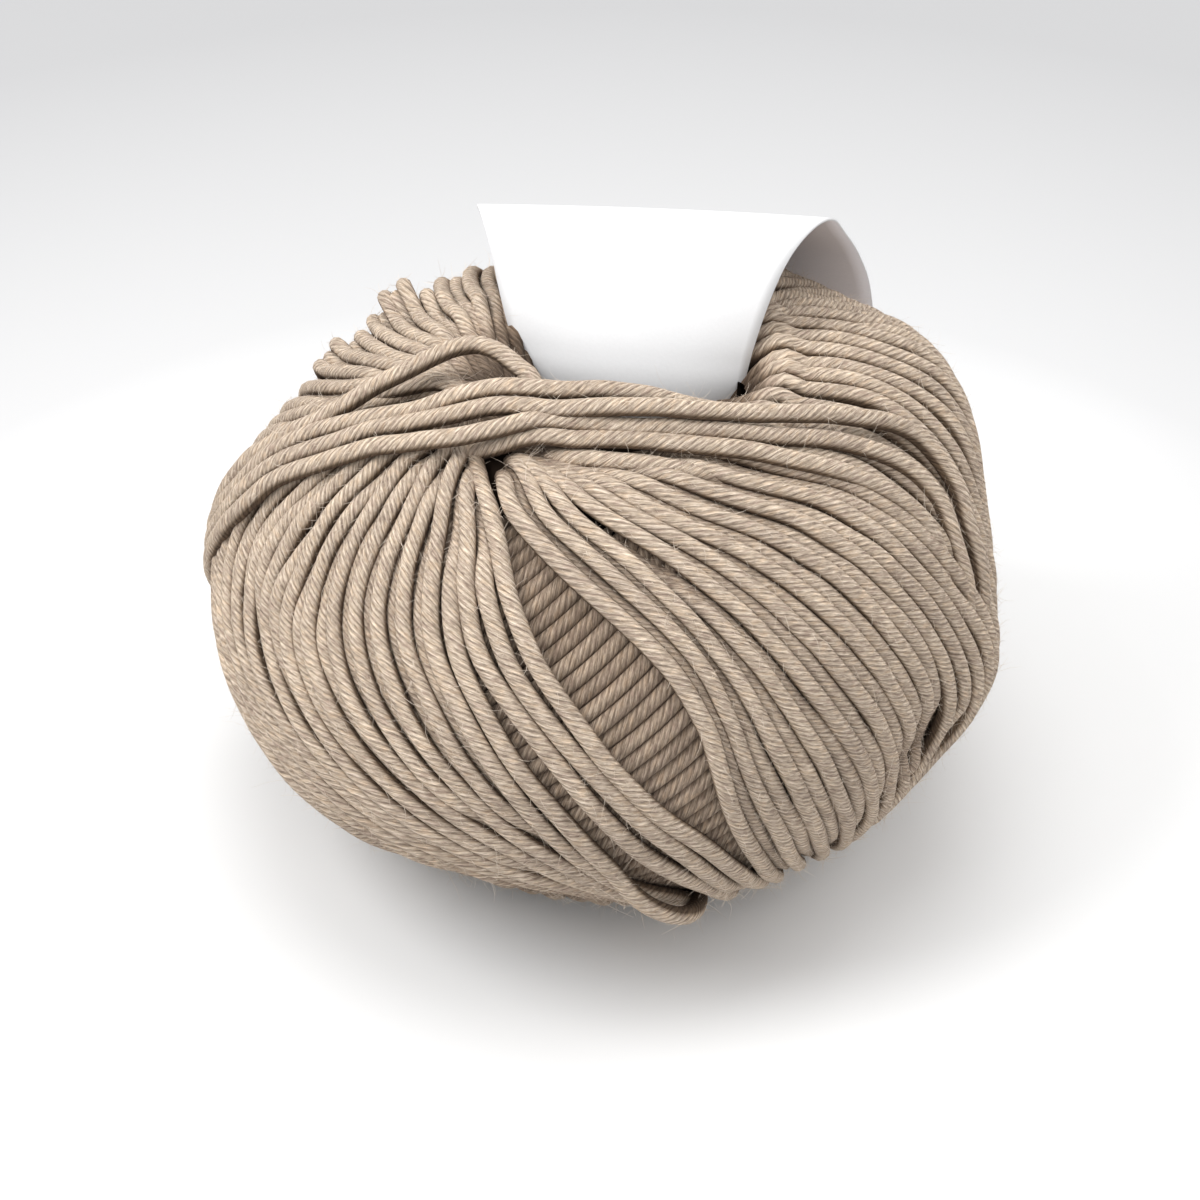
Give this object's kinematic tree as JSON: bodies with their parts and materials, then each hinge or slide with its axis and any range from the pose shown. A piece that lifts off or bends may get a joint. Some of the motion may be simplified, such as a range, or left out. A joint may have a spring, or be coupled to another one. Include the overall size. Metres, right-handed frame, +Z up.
{
  "type": "ball of yarn",
  "caption": "Ball of beige yarn, wound with a hole from top to bottom, with a blank white paper label band threaded through the hole and round its back.",
  "frame": {"origin": "on the surface it rests on, under the middle of its box", "axes": "+Z up along the ball's hole, -Y towards the front, where the open gap between the strands is, +Y towards the label's back leg"},
  "size_m": [0.0926, 0.0982, 0.0733],
  "materials": {
    "yarn": "soft, slightly fuzzy plied wool yarn in heathered beige",
    "paper": "smooth matt white paper, blank"
  },
  "bodies": {
    "root": {"yarn_ball": "yarn", "paper_label": "paper"}
  },
  "joints": []
}
